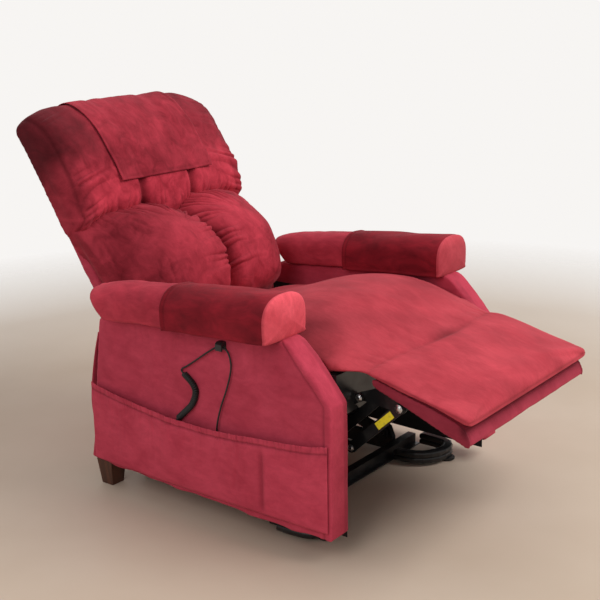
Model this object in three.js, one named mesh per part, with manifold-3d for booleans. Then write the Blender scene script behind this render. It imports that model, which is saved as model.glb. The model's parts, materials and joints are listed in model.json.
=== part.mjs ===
// Lift recliner chair: a floor base, a lift linkage, an upholstered chair body, a reclining back and a
// folding footrest. Millimetres, +Z up. The sitter faces -Y, and the sitter's right side is -X.
// The y and z values below are measured from a point on the floor under the middle of the seat. The whole
// chair is then moved along Y by ORIGIN_SHIFT, so that the origin lies under the middle of its length.
import * as THREE from 'three';
import { mergeVertices } from 'three/addons/utils/BufferGeometryUtils.js';
import Module from 'manifold-3d';

const wasm = await Module();
wasm.setup();

// Driving dimensions
const GAP = 0.3;                       // clearance between pieces that touch
const ORIGIN_SHIFT = 31.4;
const SIDES = { left: 1, right: -1 };  // the sitter's left and right

const PANEL = { inner: 335, outer: 408 };
const ROLL = { inner: 304, outer: 463, front: -324, rear: 318, top: 638, bottom: 531, shoulder: 572 };
const ARM_COVER = { end: 20, thick: 6 };
// The roll sinks and gets a little lower towards the back, where its end leans with the backrest.
const ROLL_SLOPE = { sink: 38, shrink: 0.08, endShrink: 0.16, endPower: 8, lean: 0.7, leanPower: 6 };
const SEAT = { half: 300, front: -430, rear: 150, bottom: 388, top: 535, lip: 444 };
const SEAT_RAIL = { front: -418, rear: -395.3, bottom: 338 };
const FOOTREST = { half: 316, boardHalf: 303, pad: -432, end: -755 };
const FOOTREST_PIVOT = [-432, 372];    // [y, z]
const BACK_PIVOT = [290, 402];
const BACK_RECLINE = THREE.MathUtils.degToRad(33);
const BACK_HALF = 345;
const LIFT_PIVOT = [-178, 64];
const CHAIR_PIVOT = [250, 200];
const LINK_REACH = [-137, 130];        // from a link's lower pivot to its upper one
const FRONT_LINK_PIVOT = [-540, 366];
const REAR_LINK_PIVOT = [-476, 373];

const BASE_X = [241, 259];             // planes of the linkage, from the centre out
const LIFT_ARM_X = [222, 230];
const CARRIAGE_X = [196, 212];
const ROCKER_X = [246, 251];
const FRONT_LINK_X = [251.5, 256.5];
const REAR_LINK_X = [240.5, 245.5];
const BACK_BRACKET_X = [214, 220];
const STUD_RADIUS = 6;
const STUD_CLEARANCE = 0.4;

const LIFT_MOTOR = { rear: [235, 62], eye: [-72, 61], radius: 20, housing: 225 };
const RECLINE_MOTOR = { rear: [45, 322], eye: [330, 327], radius: 18, housing: 215 };

const finish = (color, roughness, metalness = 0) =>
  new THREE.MeshStandardMaterial({ color, roughness, metalness });
const velvet = finish(0x9c2f3f, 0.85);
const darkVelvet = finish(0x78202b, 0.85);
const seatVelvet = finish(0xbb4150, 0.85);
const blackSteel = finish(0x17171a, 0.45, 0.6);
const zincSteel = finish(0xb9bcc0, 0.35, 0.9);
const blackPlastic = finish(0x141416, 0.5);
const greyPlastic = finish(0x9a9da3, 0.5);
const rubber = finish(0x1b1b1b, 0.8);
const brownWood = finish(0x4a2a1c, 0.55);
const paleWood = finish(0xb08a5e, 0.7);
const labelYellow = finish(0xe8d23a, 0.6);

const chair = new THREE.Group();
chair.position.y = ORIGIN_SHIFT;

function add(name, geometry, material, parent = chair) {
  const mesh = new THREE.Mesh(geometry, material);
  mesh.name = name;
  parent.add(mesh);
  return mesh;
}

// Geometry helpers
function outline(points) {
  return new THREE.Shape(points.map(([a, b]) => new THREE.Vector2(a, b)));
}

function circle(radius, centre = [0, 0], sides = 16) {
  const points = [];
  for (let i = 0; i < sides; i += 1) {
    const angle = (2 * Math.PI * i) / sides;
    points.push([centre[0] + radius * Math.cos(angle), centre[1] + radius * Math.sin(angle)]);
  }
  return points;
}

const Y_Z_OUTLINE = new THREE.Matrix4().makeBasis(
  new THREE.Vector3(0, 1, 0), new THREE.Vector3(0, 0, 1), new THREE.Vector3(1, 0, 0));
const X_Z_OUTLINE = new THREE.Matrix4().makeBasis(
  new THREE.Vector3(-1, 0, 0), new THREE.Vector3(0, 0, 1), new THREE.Vector3(0, 1, 0));

function slab(shape, from, to, bevel = 0, steps = 1) {
  const options = { depth: to - from - 2 * bevel, steps, bevelEnabled: bevel > 0 };
  Object.assign(options, { bevelThickness: bevel, bevelSize: bevel, bevelOffset: -bevel, bevelSegments: 2 });
  const geometry = new THREE.ExtrudeGeometry(shape, options);
  return geometry.translate(0, 0, from + bevel);
}

// A [y, z] outline extruded across the chair, between two distances from the middle on one side.
function across(points, [from, to], side = 1, bevel = 0) {
  const low = side > 0 ? from : -to;
  const high = side > 0 ? to : -from;
  return slab(outline(points), low, high, bevel).applyMatrix4(Y_Z_OUTLINE);
}

function block([x0, x1], [y0, y1], [z0, z1]) {
  const geometry = new THREE.BoxGeometry(x1 - x0, y1 - y0, z1 - z0);
  return geometry.translate((x0 + x1) / 2, (y0 + y1) / 2, (z0 + z1) / 2);
}

function sideBlock([from, to], ys, zs, side) {
  return block(side > 0 ? [from, to] : [-to, -from], ys, zs);
}

// A round bar along X through the [y, z] point.
function stud([from, to], [y, z], side = 1, radius = STUD_RADIUS) {
  return across(circle(radius, [y, z]), [from, to], side);
}

function tube(points, radius, sides, steps) {
  const path = new THREE.CatmullRomCurve3(points.map((p) => new THREE.Vector3(...p)), false, 'centripetal');
  return new THREE.ExtrudeGeometry(outline(circle(radius, [0, 0], sides)), { steps, extrudePath: path });
}

// Solids for joining and cutting
function solid(geometry) {
  const bare = geometry.clone();
  bare.deleteAttribute('normal');
  bare.deleteAttribute('uv');
  const merged = mergeVertices(bare, 1e-3);
  return new wasm.Manifold(new wasm.Mesh({
    numProp: 3,
    vertProperties: new Float32Array(merged.attributes.position.array),
    triVerts: new Uint32Array(merged.index.array),
  }));
}

function geometryOf(body) {
  const mesh = body.getMesh();
  const geometry = new THREE.BufferGeometry();
  geometry.setAttribute('position', new THREE.BufferAttribute(mesh.vertProperties, 3));
  geometry.setIndex(new THREE.BufferAttribute(mesh.triVerts, 1));
  geometry.computeVertexNormals();
  return geometry;
}

function join(...geometries) {
  return geometryOf(geometries.map(solid).reduce((whole, next) => whole.add(next)));
}

function cut(geometry, ...tools) {
  return geometryOf(tools.map(solid).reduce((whole, next) => whole.subtract(next), solid(geometry)));
}

function holeAt(point, radius = STUD_RADIUS + STUD_CLEARANCE) {
  return across(circle(radius, point), [-500, 500]);
}

const shifted = ([y, z], [dy, dz]) => [y + dy, z + dz];

// A flat bar with round ends between two [y, z] pivots.
function barOutline([y0, z0], [y1, z1], radius, arcSteps = 6) {
  const heading = Math.atan2(z1 - z0, y1 - y0);
  const points = [];
  for (let i = 0; i <= arcSteps; i += 1) {
    const angle = heading - Math.PI / 2 + (Math.PI * i) / arcSteps;
    points.push([y1 + radius * Math.cos(angle), z1 + radius * Math.sin(angle)]);
  }
  for (let i = 0; i <= arcSteps; i += 1) {
    const angle = heading + Math.PI / 2 + (Math.PI * i) / arcSteps;
    points.push([y0 + radius * Math.cos(angle), z0 + radius * Math.sin(angle)]);
  }
  return points;
}

// Floor base
function frontBeam() {
  const box = [[-228, 38], [-228, 12], [-243, 12], [-243, 8.3], [-203, 8.3], [-203, 38]];
  add('front_beam', across(box, [-330, 330]), blackSteel);
}

function rearBeam() {
  const beam = block([-300, 300], [258, 283], [8.3, 48]);
  const ears = [];
  for (const side of Object.values(SIDES)) {
    const ear = [[283, 40], [283, 66], [240, 76], [224, 66], [224, 52], [258, 40]];
    ears.push(across(ear, [8.5, 14.5], side));
  }
  const pin = stud([-13, 13], LIFT_MOTOR.rear, 1, 5);
  add('rear_beam', join(beam, ...ears, pin), blackSteel);
}

function baseRails() {
  const [y, z] = LIFT_PIVOT;
  const profile = [[-202.7, 8.3], [257.7, 8.3], [257.7, 48], [-140, 48], [y + 18, z], [y + 12, z + 14],
    [y, z + 19], [y - 12, z + 14], [y - 18, z], [-202.7, 48]];
  for (const [name, side] of Object.entries(SIDES)) {
    const pin = stud([218, 242], LIFT_PIVOT, side, 8);
    add(`base_rail_${name}`, join(across(profile, BASE_X, side), pin), blackSteel);
  }
}

function footLoops() {
  const route = [[196, -243.4], [198, -282], [216, -322], [252, -347], [296, -354], [328, -337], [339, -295],
    [340, -243.4]];
  const points = route.map(([x, y]) => new THREE.Vector3(x, y, 0));
  const path = new THREE.CatmullRomCurve3(points, false, 'centripetal');
  const half = 13;
  const steps = 14;
  for (const [name, side] of Object.entries(SIDES)) {
    const outer = [];
    const inner = [];
    for (let i = 0; i <= steps; i += 1) {
      const point = path.getPoint(i / steps);
      const way = path.getTangent(i / steps);
      outer.push([side * (point.x + half * way.y), point.y - half * way.x]);
      inner.push([side * (point.x - half * way.y), point.y + half * way.x]);
    }
    const loop = outline([...outer, ...inner.reverse()]);
    const lower = slab(loop, 8.3, 25.5, 5);
    const upper = slab(loop, 24.5, 41.7, 5);
    const square = sideBlock([150, 400], [-243.4, -200], [0, 60], side);
    add(`foot_loop_${name}`, cut(join(lower, upper), square), blackSteel);
  }
}

function glides() {
  const spots = { front: [296, -355], rear: [270, 270] };
  const profile = [[0, 0], [19, 0], [22, 2.5], [22, 8], [0, 8]];
  for (const [end, [x, y]] of Object.entries(spots)) {
    for (const [name, side] of Object.entries(SIDES)) {
      const disc = new THREE.LatheGeometry(profile.map(([r, z]) => new THREE.Vector2(r, z)), 24);
      disc.rotateX(Math.PI / 2);
      add(`glide_${end}_${name}`, disc, rubber).position.set(side * x, y, 0);
    }
  }
}

// Lift linkage
function liftArms() {
  for (const [name, side] of Object.entries(SIDES)) {
    const bar = across(barOutline(LIFT_PIVOT, CHAIR_PIVOT, 18), LIFT_ARM_X, side);
    const holes = [holeAt(LIFT_PIVOT, 8.4), holeAt(CHAIR_PIVOT, 8.4)];
    add(`lift_arm_${name}`, cut(bar, ...holes), blackSteel);
  }
  const span = new THREE.Vector2(CHAIR_PIVOT[0] - LIFT_PIVOT[0], CHAIR_PIVOT[1] - LIFT_PIVOT[1]).normalize();
  const centre = [LIFT_PIVOT[0] + 100 * span.x, LIFT_PIVOT[1] + 100 * span.y];
  const reach = LIFT_ARM_X[0] - GAP;
  const crossTube = stud([-reach, reach], centre, 1, 12.5);
  const lug = across(barOutline(centre, LIFT_MOTOR.eye, 11), [9, 16]);
  add('lift_cross_tube', join(crossTube, lug), blackSteel);
}

// A linear actuator lying along +Y from its rear eye to its rod eye, then turned to its real slope.
function actuator(prefix, { rear, eye, radius, housing }) {
  const run = new THREE.Vector2(eye[0] - rear[0], eye[1] - rear[1]);
  const length = run.length();
  const slope = run.angle();
  const rodRadius = 8;
  const inserted = 85;
  const boreEnd = housing - inserted - 22;
  const bore = rodRadius + 0.5;
  const place = (geometry) => geometry.rotateX(slope).translate(0, rear[0], rear[1]);
  const body = new THREE.LatheGeometry([[0, 30], [radius - 6, 30], [radius, 36], [radius, housing - 8],
    [radius - 6, housing], [bore, housing], [bore, boreEnd], [0, boreEnd]]
    .map(([r, y]) => new THREE.Vector2(r, y)), 18);
  const motor = new THREE.CylinderGeometry(radius + 4, radius + 4, 90, 18);
  motor.rotateX(Math.PI / 2).rotateY(Math.PI / 2).translate(45, 70, 0);
  const eyeBlock = across(barOutline([0, 0], [40, 0], 11), [-8, 8]);
  const shell = cut(join(body, motor, eyeBlock), holeAt([0, 0], 5.4));
  add(`${prefix}_housing`, place(shell), blackPlastic);
  const start = housing - inserted;
  const rod = new THREE.CylinderGeometry(rodRadius, rodRadius, length - 12 - start, 16);
  rod.translate(0, (length - 12 + start) / 2, 0);
  const rodEye = across(barOutline([length - 14, 0], [length, 0], 11), [-5, 5]);
  add(`${prefix}_rod`, place(join(rod, rodEye)), zincSteel);
}

// Chair frame
function carriageRails() {
  const [cy, cz] = rockerPivot();
  const [by, bz] = CHAIR_PIVOT;
  const [qy, qz] = BACK_PIVOT;
  const profile = [[-394, 330], [cy - 16, 330], [cy - 16, cz - 8], [cy - 8, cz - 16], [cy + 8, cz - 16],
    [cy + 16, cz - 8], [cy + 16, 330], [by - 22, 330], [by - 18, bz - 8], [by - 8, bz - 18],
    [by + 8, bz - 18], [by + 18, bz - 8], [by + 24, 300], [qy + 18, 340], [qy + 16, qz + 8],
    [qy + 7, qz + 16], [qy - 7, qz + 16], [qy - 16, qz + 8], [qy - 20, 371], [-394, 371]];
  for (const [name, side] of Object.entries(SIDES)) {
    const pins = [stud([205, 252], [cy, cz], side), stud([205, 234], CHAIR_PIVOT, side, 8),
      stud([205, 222], BACK_PIVOT, side)];
    add(`carriage_rail_${name}`, join(across(profile, CARRIAGE_X, side), ...pins), blackSteel);
  }
}

function rockerPivot() {
  return shifted(FOOTREST_PIVOT, [-LINK_REACH[0], -LINK_REACH[1]]);
}

function seatFrame() {
  const width = PANEL.inner - GAP;
  const rail = block([-width, width], [SEAT_RAIL.front, SEAT_RAIL.rear], [SEAT_RAIL.bottom, SEAT.lip - GAP]);
  const [hy, hz] = FOOTREST_PIVOT;
  const lugs = [];
  for (const side of Object.values(SIDES)) {
    const ear = [[-400, 340], [-400, 380], [hy, hz + 11], [hy - 8, hz + 8], [hy - 11, hz], [hy - 8, hz - 8],
      [hy, hz - 11]];
    lugs.push(across(ear, [258, 264], side));
    lugs.push(stud([238, 260], FOOTREST_PIVOT, side));
  }
  add('seat_front_rail', join(rail, ...lugs), blackSteel);
  const deck = block([-width, width], [SEAT_RAIL.rear + GAP, 262], [371.4, SEAT.bottom - GAP]);
  const hook = [[26, 372], [60, 372], [57, 326], [52, 313], [45, 309], [36, 313]];
  const hooks = [across(hook, [8.5, 14.5], 1), across(hook, [8.5, 14.5], -1)];
  add('seat_deck', join(deck, ...hooks, stud([-13, 13], RECLINE_MOTOR.rear, 1, 5)), paleWood);
}

function seatCushion() {
  const step = SEAT_RAIL.rear + GAP;
  const profile = [[SEAT.front, SEAT.lip], [step, SEAT.lip], [step, SEAT.bottom], [SEAT.rear, SEAT.bottom],
    [SEAT.rear, 486], [120, 508], [20, 528], [-120, SEAT.top], [-250, 532], [-340, 518], [-400, 494],
    [SEAT.front, 480]];
  add('seat_cushion', across(profile, [-SEAT.half, SEAT.half], 1, 12), seatVelvet);
}

function armPanels() {
  const profile = [[-454, 60], [366, 75], [332, 279], [304, 470], [300, 488], [140, 501], [-60, 513],
    [-200, 521], [-322, 528], [-338, 520], [-370, 489], [-412, 442], [-446, 402], [-454, 392]];
  for (const [name, side] of Object.entries(SIDES)) {
    add(`arm_panel_${name}`, across(profile, [PANEL.inner, PANEL.outer], side, 4), velvet);
  }
}

// The roll's cross-section: a mushroom with a flat underside, drawn at its front, grown by `grow`.
function rollSection(grow, side) {
  const centre = (ROLL.inner + ROLL.outer) / 2;
  const half = (ROLL.outer - ROLL.inner) / 2 - ARM_COVER.thick + grow;
  const top = ROLL.top - ARM_COVER.thick + grow;
  const bottom = ROLL.bottom - (grow > 0 ? 30 : 0);
  const points = [[-half + 16, bottom], [half - 16, bottom], [half - 4, bottom + 12]];
  for (let i = 0; i <= 12; i += 1) {
    const angle = (Math.PI * i) / 12;
    points.push([half * Math.cos(angle), ROLL.shoulder + (top - ROLL.shoulder) * Math.sin(angle)]);
  }
  points.push([-half + 4, bottom + 12]);
  return points.map(([x, z]) => [-side * centre - x, z]);
}

function slopeRoll(geometry) {
  const position = geometry.attributes.position;
  const run = ROLL.rear - ROLL.front;
  for (let i = 0; i < position.count; i += 1) {
    const along = (position.getY(i) - ROLL.front) / run;
    const above = position.getZ(i) - ROLL.bottom;
    const height = 1 - ROLL_SLOPE.shrink * along - ROLL_SLOPE.endShrink * along ** ROLL_SLOPE.endPower;
    const lean = ROLL_SLOPE.lean * along ** ROLL_SLOPE.leanPower * (ROLL.top - ROLL.bottom - above);
    position.setZ(i, ROLL.bottom - ROLL_SLOPE.sink * along + above * height);
    position.setY(i, position.getY(i) - lean);
  }
  return geometry;
}

function armRolls() {
  const lengthwise = (points, from, to, steps) =>
    slopeRoll(slab(outline(points), from, to, 0, steps).applyMatrix4(X_Z_OUTLINE));
  for (const [name, side] of Object.entries(SIDES)) {
    const front = ROLL.front + ARM_COVER.thick + GAP;
    add(`arm_roll_${name}`, lengthwise(rollSection(0, side), front, ROLL.rear, 8), velvet);
    const skin = lengthwise(rollSection(ARM_COVER.thick, side), ROLL.front, ARM_COVER.end, 6);
    const core = lengthwise(rollSection(GAP, side), ROLL.front + ARM_COVER.thick, ROLL.rear, 8);
    const under = [[-500, 400], [500, 400], [500, ROLL.bottom + GAP], [-500, ROLL.bottom + GAP]];
    const below = lengthwise(under, ROLL.front - 10, ARM_COVER.end + 10, 6);
    const cover = cut(skin, core, below);
    add(`arm_cover_${name}`, cover, darkVelvet);
  }
}

function rearFeet() {
  for (const [name, side] of Object.entries(SIDES)) {
    const foot = new THREE.CylinderGeometry(40, 29, 73, 4).rotateX(Math.PI / 2).rotateZ(Math.PI / 4);
    add(`rear_foot_${name}`, foot, brownWood).position.set(side * 372, 322, 36.5 + 0.4);
  }
}

function rearSkirt() {
  const outer = [[392, 404], [416, 340], [436, 260], [444, 190], [434, 140], [404, 112], [372, 108]];
  const inner = [[372, 116], [400, 121], [424, 146], [433, 190], [426, 258], [406, 337], [383, 402]];
  add('rear_skirt', across([...outer, ...inner], [-328, 328]), velvet);
}

// Side pocket with the handset, on the sitter's right
function pocketPlan(inset) {
  const points = [];
  const steps = 14;
  for (let i = 0; i <= steps; i += 1) {
    const y = -447 + inset + ((784 - 2 * inset) * i) / steps;
    const swell = 7 + 24 * Math.sin((Math.PI * i) / steps) ** 0.7;
    points.push([-(PANEL.outer + swell - inset), y]);
  }
  points.push([-(PANEL.outer + GAP) + (inset > 0 ? 5 : 0), 337 - inset]);
  points.push([-(PANEL.outer + GAP) + (inset > 0 ? 5 : 0), -447 + inset]);
  return points;
}

function sidePocket() {
  const bag = slab(outline(pocketPlan(0)), 84, 286);
  const hollow = slab(outline(pocketPlan(3)), 87, 300);
  add('side_pocket', cut(bag, hollow), velvet);
}

const HANDSET = { x: [-411, -427], y: [-4, 54], z: [98, 246] };
const BUTTON_HEIGHTS = { up: 214, down: 180 };

function handset() {
  const [back, face] = HANDSET.x;
  const [front, rear] = HANDSET.y;
  const [bottom, top] = HANDSET.z;
  const shape = outline([[front, bottom + 6], [front + 6, bottom], [rear - 6, bottom], [rear, bottom + 6],
    [rear, top - 10], [rear - 10, top], [front + 10, top], [front, top - 10]]);
  const shell = slab(shape, face, back, 3).applyMatrix4(Y_Z_OUTLINE);
  const middle = (front + rear) / 2;
  const wells = [];
  for (const [name, z] of Object.entries(BUTTON_HEIGHTS)) {
    wells.push(slab(outline(circle(9, [middle, z])), face - 1, face + 5).applyMatrix4(Y_Z_OUTLINE));
    const cap = slab(outline(circle(8.5, [middle, z])), face - 2, face + 2.5, 0.6).applyMatrix4(Y_Z_OUTLINE);
    add(`handset_button_${name}`, cap, greyPlastic);
  }
  add('handset_housing', cut(shell, ...wells), blackPlastic);
}

function cordClip() {
  const wall = PANEL.outer + GAP;
  const profile = [[wall, 478], [412, 478], [412, 489], [414.8, 491.8], [421.2, 491.8], [424, 489],
    [424, 478], [428, 478], [428, 494], [423, 499], [wall, 499]];
  const clip = slab(outline(profile), -150, -130).applyMatrix4(X_Z_OUTLINE);
  add('cord_clip', clip, blackPlastic);
}

// The handset's lead: out of the panel inside the pocket, over the clip, then a curly stretch back down.
const CORD_RADIUS = 2.2;
const CORD_LOOP = [[-410.6, -117, 236], [-415, -117, 240], [-419, -118, 256], [-419.5, -120, 285],
  [-419, -133, 330], [-418, -152, 378], [-418, -166, 420], [-418, -170, 448], [-418, -164, 472],
  [-418, -154, 483], [-418, -140, 486], [-418, -126, 483], [-418, -104, 470], [-418, -79, 453],
  [-418, -46, 430], [-418, -20, 413], [-418, -9, 407], [-418, -6, 401], [-418, -12, 396]];
const CORD_COIL = [[-418, -12.5, 395.6], [-418, -26, 387], [-418, -43, 373], [-418, -51, 353],
  [-418, -38, 320], [-418, -10, 292], [-418.5, 14, 270]];
const CORD_TAIL = [[-418.5, 14.3, 269.6], [-418.5, 22, 260], [-418.5, 25, 246.4]];

function cord() {
  add('cord_loop', tube(CORD_LOOP, CORD_RADIUS, 8, 48), rubber);
  add('cord_coil', tube(CORD_COIL, 8.5, 12, 16), rubber);
  add('cord_tail', tube(CORD_TAIL, CORD_RADIUS, 8, 5), rubber);
}

function controlBox() {
  const shell = block([-180, -72], [90, 215], [308, 371]);
  const inlet = block([-142, -112], [214, 224], [322, 344]);
  const socket = block([-137, -117], [216, 230], [326, 340]);
  add('control_box', cut(join(shell, inlet), socket), blackPlastic);
}

// Backrest, drawn upright about its pivot: the sitter is towards -Y
const back = new THREE.Group();
back.position.set(0, ...BACK_PIVOT);
back.rotation.x = -BACK_RECLINE;
chair.add(back);

const BOARD = { front: -17, rear: -2, bottom: 20, top: 600, half: 285 };
const SHELL = { front: 20, rear: 38, bottom: 60, top: 650 };
const PILLOW_FRONT = [[BOARD.front - GAP, 345], [-60, 350], [-94, 384], [-111, 440], [-115, 520], [-106, 600],
  [-82, 660], [-42, 698], [0, 704], [28, 688], [SHELL.rear, 652]];

function backFrame() {
  const board = block([-BOARD.half, BOARD.half], [BOARD.front, BOARD.rear], [BOARD.bottom, BOARD.top]);
  const eye = [RECLINE_MOTOR.eye[0] - BACK_PIVOT[0], RECLINE_MOTOR.eye[1] - BACK_PIVOT[1]];
  const [c, s] = [Math.cos(BACK_RECLINE), Math.sin(BACK_RECLINE)];
  const local = [c * eye[0] - s * eye[1], s * eye[0] + c * eye[1]];
  const lever = across(barOutline([-9, 34], local, 11), [8.5, 15.5]);
  add('back_frame', join(board, lever), paleWood, back);
}

function backBrackets() {
  const profile = [[BOARD.rear + GAP, 150], [BOARD.rear + GAP, 15], [-10, 11], [-15, 0], [-10, -11], [0, -15],
    [10, -11], [16, 0], [19, 20], [19, 150]];
  for (const [name, side] of Object.entries(SIDES)) {
    const plate = cut(across(profile, BACK_BRACKET_X, side), holeAt([0, 0]));
    add(`back_bracket_${name}`, plate, blackSteel, back);
  }
}

function backPads() {
  const shell = [[SHELL.front, SHELL.bottom], [SHELL.rear, SHELL.bottom], [SHELL.rear, SHELL.top],
    [SHELL.front, SHELL.top]];
  add('back_rear_panel', across(shell, [-BACK_HALF, BACK_HALF], 1, 3), velvet, back);
  const lobe = [[BOARD.front - GAP, 62], [-90, 64], [-150, 95], [-188, 150], [-197, 210], [-185, 262],
    [-150, 304], [-100, 326], [BOARD.front - GAP, 335]];
  for (const [name, side] of Object.entries(SIDES)) {
    add(`lumbar_lobe_${name}`, across(lobe, [2, 297], side, 14), velvet, back);
  }
  const pillow = [...PILLOW_FRONT, [BOARD.front - GAP, 652]];
  add('head_pillow', across(pillow, [-BACK_HALF, BACK_HALF], 1, 1), velvet, back);
}

// The head cover hangs over the pillow, from its front face over the top to the back.
function headCover() {
  const line = [[-100.3, 405], ...PILLOW_FRONT.slice(3), [SHELL.rear, 600]];
  const offset = (distance) => line.map((point, i) => {
    const before = line[Math.max(i - 1, 0)];
    const after = line[Math.min(i + 1, line.length - 1)];
    const way = new THREE.Vector2(after[0] - before[0], after[1] - before[1]).normalize();
    return [point[0] - distance * way.y, point[1] + distance * way.x];
  });
  const cloth = [...offset(0.9), ...offset(4).reverse()];
  add('head_cover', across(cloth, [-185, 185]), darkVelvet, back);
}

// Footrest
function footrest() {
  const pad = [[FOOTREST.pad, 446], [FOOTREST.pad, 476], [-490, 470], [-579, 454], [-665, 431], [-743, 411],
    [-753, 402], [FOOTREST.end, 390], [-752, 380], [-665, 404], [-579, 423], [-484, 446]];
  add('footrest_pad', across(pad, [-FOOTREST.half, FOOTREST.half], 1, 4), seatVelvet);
  const board = [[-500, 441], [-579, 421.5], [-665, 402], [-735, 378], [-748, 362], [-750, 342], [-746, 331],
    [-657, 365], [-600, 387], [-540, 410], [-500, 425]];
  add('footrest_board', across(board, [-FOOTREST.boardHalf, FOOTREST.boardHalf]), velvet);
  const [hy, hz] = FOOTREST_PIVOT;
  const profile = [[hy, hz + 11], [hy + 8, hz + 8], [hy + 11, hz], [hy + 8, hz - 8], [hy, hz - 11],
    [-468, 362], [-476, 359], [-536, 352], [-548, 353], [-556, 362], [-600, 386.5], [-540, 409.5],
    [-502, 423.7], [-478, 402]];
  for (const [name, side] of Object.entries(SIDES)) {
    const arm = across(profile, ROCKER_X, side);
    add(`footrest_arm_${name}`, cut(arm, holeAt(FOOTREST_PIVOT)), blackSteel);
  }
}

// The links stay parallel to each other: pivots of a link lie LINK_REACH apart, and the rocker turns with
// the footrest. Each link carries its own studs, which pass through the rocker; the upper ends lie beside
// the footrest arm.
function footrestLinks() {
  const lower = ([y, z]) => [y - LINK_REACH[0], z - LINK_REACH[1]];
  const frontLower = lower(FRONT_LINK_PIVOT);
  const rearLower = lower(REAR_LINK_PIVOT);
  const pivot = rockerPivot();
  for (const [name, side] of Object.entries(SIDES)) {
    const plate = across(barOutline(pivot, frontLower, 14), ROCKER_X, side);
    const holes = [holeAt(pivot), holeAt(frontLower), holeAt(rearLower)];
    add(`rocker_${name}`, cut(plate, ...holes), blackSteel);
    const frontBar = across(barOutline(frontLower, FRONT_LINK_PIVOT, 13), FRONT_LINK_X, side);
    const frontStud = stud([244.5, 256], frontLower, side);
    const frontBolt = stud([256, 260], FRONT_LINK_PIVOT, side, 8);
    add(`front_link_${name}`, join(frontBar, frontStud, frontBolt), blackSteel);
    const rearBar = across(barOutline(rearLower, REAR_LINK_PIVOT, 13), REAR_LINK_X, side);
    const rearStud = stud([242, 252], rearLower, side);
    add(`rear_link_${name}`, join(rearBar, rearStud), blackSteel);
  }
  const along = (share) => [frontLower[0] + share * LINK_REACH[0], frontLower[1] + share * LINK_REACH[1]];
  const label = barOutline(along(0.55), along(0.86), 9, 1);
  add('link_label', across(label, [FRONT_LINK_X[1] + GAP, FRONT_LINK_X[1] + 1], SIDES.right), labelYellow);
}

frontBeam();
rearBeam();
baseRails();
footLoops();
glides();
liftArms();
actuator('lift_actuator', LIFT_MOTOR);
carriageRails();
seatFrame();
seatCushion();
armPanels();
armRolls();
rearFeet();
rearSkirt();
sidePocket();
handset();
cordClip();
cord();
controlBox();
actuator('recline_actuator', RECLINE_MOTOR);
backFrame();
backBrackets();
backPads();
headCover();
footrest();
footrestLinks();

export default chair;
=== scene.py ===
import json
import math

import bpy
import numpy as np
from mathutils import Matrix, Vector
from mathutils.bvhtree import BVHTree


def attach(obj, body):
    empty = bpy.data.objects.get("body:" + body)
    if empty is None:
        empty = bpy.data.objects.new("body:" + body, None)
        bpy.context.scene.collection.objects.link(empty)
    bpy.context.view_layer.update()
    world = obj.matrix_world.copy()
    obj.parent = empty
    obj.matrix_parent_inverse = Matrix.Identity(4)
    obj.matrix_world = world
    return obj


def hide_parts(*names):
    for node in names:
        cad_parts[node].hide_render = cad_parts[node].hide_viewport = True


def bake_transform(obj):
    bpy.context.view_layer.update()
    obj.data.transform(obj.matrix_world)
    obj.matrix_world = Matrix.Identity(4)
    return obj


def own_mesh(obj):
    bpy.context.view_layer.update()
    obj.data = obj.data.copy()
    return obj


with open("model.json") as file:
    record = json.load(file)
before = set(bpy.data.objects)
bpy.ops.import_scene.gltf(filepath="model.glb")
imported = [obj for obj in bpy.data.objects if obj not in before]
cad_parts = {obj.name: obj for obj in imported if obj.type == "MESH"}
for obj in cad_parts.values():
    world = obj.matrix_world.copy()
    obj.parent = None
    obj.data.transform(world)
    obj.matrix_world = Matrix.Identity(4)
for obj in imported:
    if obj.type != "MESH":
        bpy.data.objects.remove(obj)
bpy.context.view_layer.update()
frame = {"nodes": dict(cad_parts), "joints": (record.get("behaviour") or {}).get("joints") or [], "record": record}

# The looks of the lift recliner chair, around its fixed frame. The sitter faces -Y, and the near side in the
# camera's view is the sitter's right, at -X. Shapes below are drawn in millimetres. Along the chair they are
# measured from a point under the middle of the seat, 290 mm before the pivot of the back. Points of the back
# are (x, v, u): v goes from its pivot to the rear and u up along the back, which leans RECLINE from upright.
MM = 0.001
SIDES = {"left": 1, "right": -1}
PIVOTS = {joint["name"]: Vector(joint["pos_m"]) for joint in frame["joints"] if "pos_m" in joint}
BACK_Y = 290
BACK_Z = PIVOTS["recline"].z / MM
ORIGIN_Y = PIVOTS["recline"].y - BACK_Y * MM
RECLINE = math.radians(33)
COS, SIN = math.cos(RECLINE), math.sin(RECLINE)
FOLD_Y, FOLD_Z = (PIVOTS["footrest_fold"].y - ORIGIN_Y) / MM, PIVOTS["footrest_fold"].z / MM

SEAT = {"half": 330, "rear": 186}
FOOTREST = {"half": 316, "end": -755}
SEAM_Y = -474                      # the seam between the seat and the footrest pad
BACK_HALF = 345
HEAD_SEAM = 100                    # the head pillow's two seams, from the middle
LOBE = {"inner": 3, "outer": 341, "bottom": 40, "top": 342, "corner": 118}
PANEL = {"inner": 335, "outer": 408, "front": -454, "bend": 392, "lean": 0.88}
ROLL = {"inner": 304, "outer": 463, "front": -324, "rear": 318, "cover_end": 20, "top": 638, "bottom": 531,
        "shoulder": 574, "sink": 38}


# ---------------------------------------------------------------- places and curves
def chair_points(x, y, z):
    x, y, z = np.broadcast_arrays(np.asarray(x, float), y, z)
    return np.stack([x, y, z], -1) * MM + (0, ORIGIN_Y, 0)


def back_points(x, v, u):
    v, u = np.asarray(v, float), np.asarray(u, float)
    return chair_points(x, BACK_Y + v * COS + u * SIN, BACK_Z - v * SIN + u * COS)


def chair_coordinates(points):
    return ((points - (0, ORIGIN_Y, 0)) / MM).T


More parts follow.
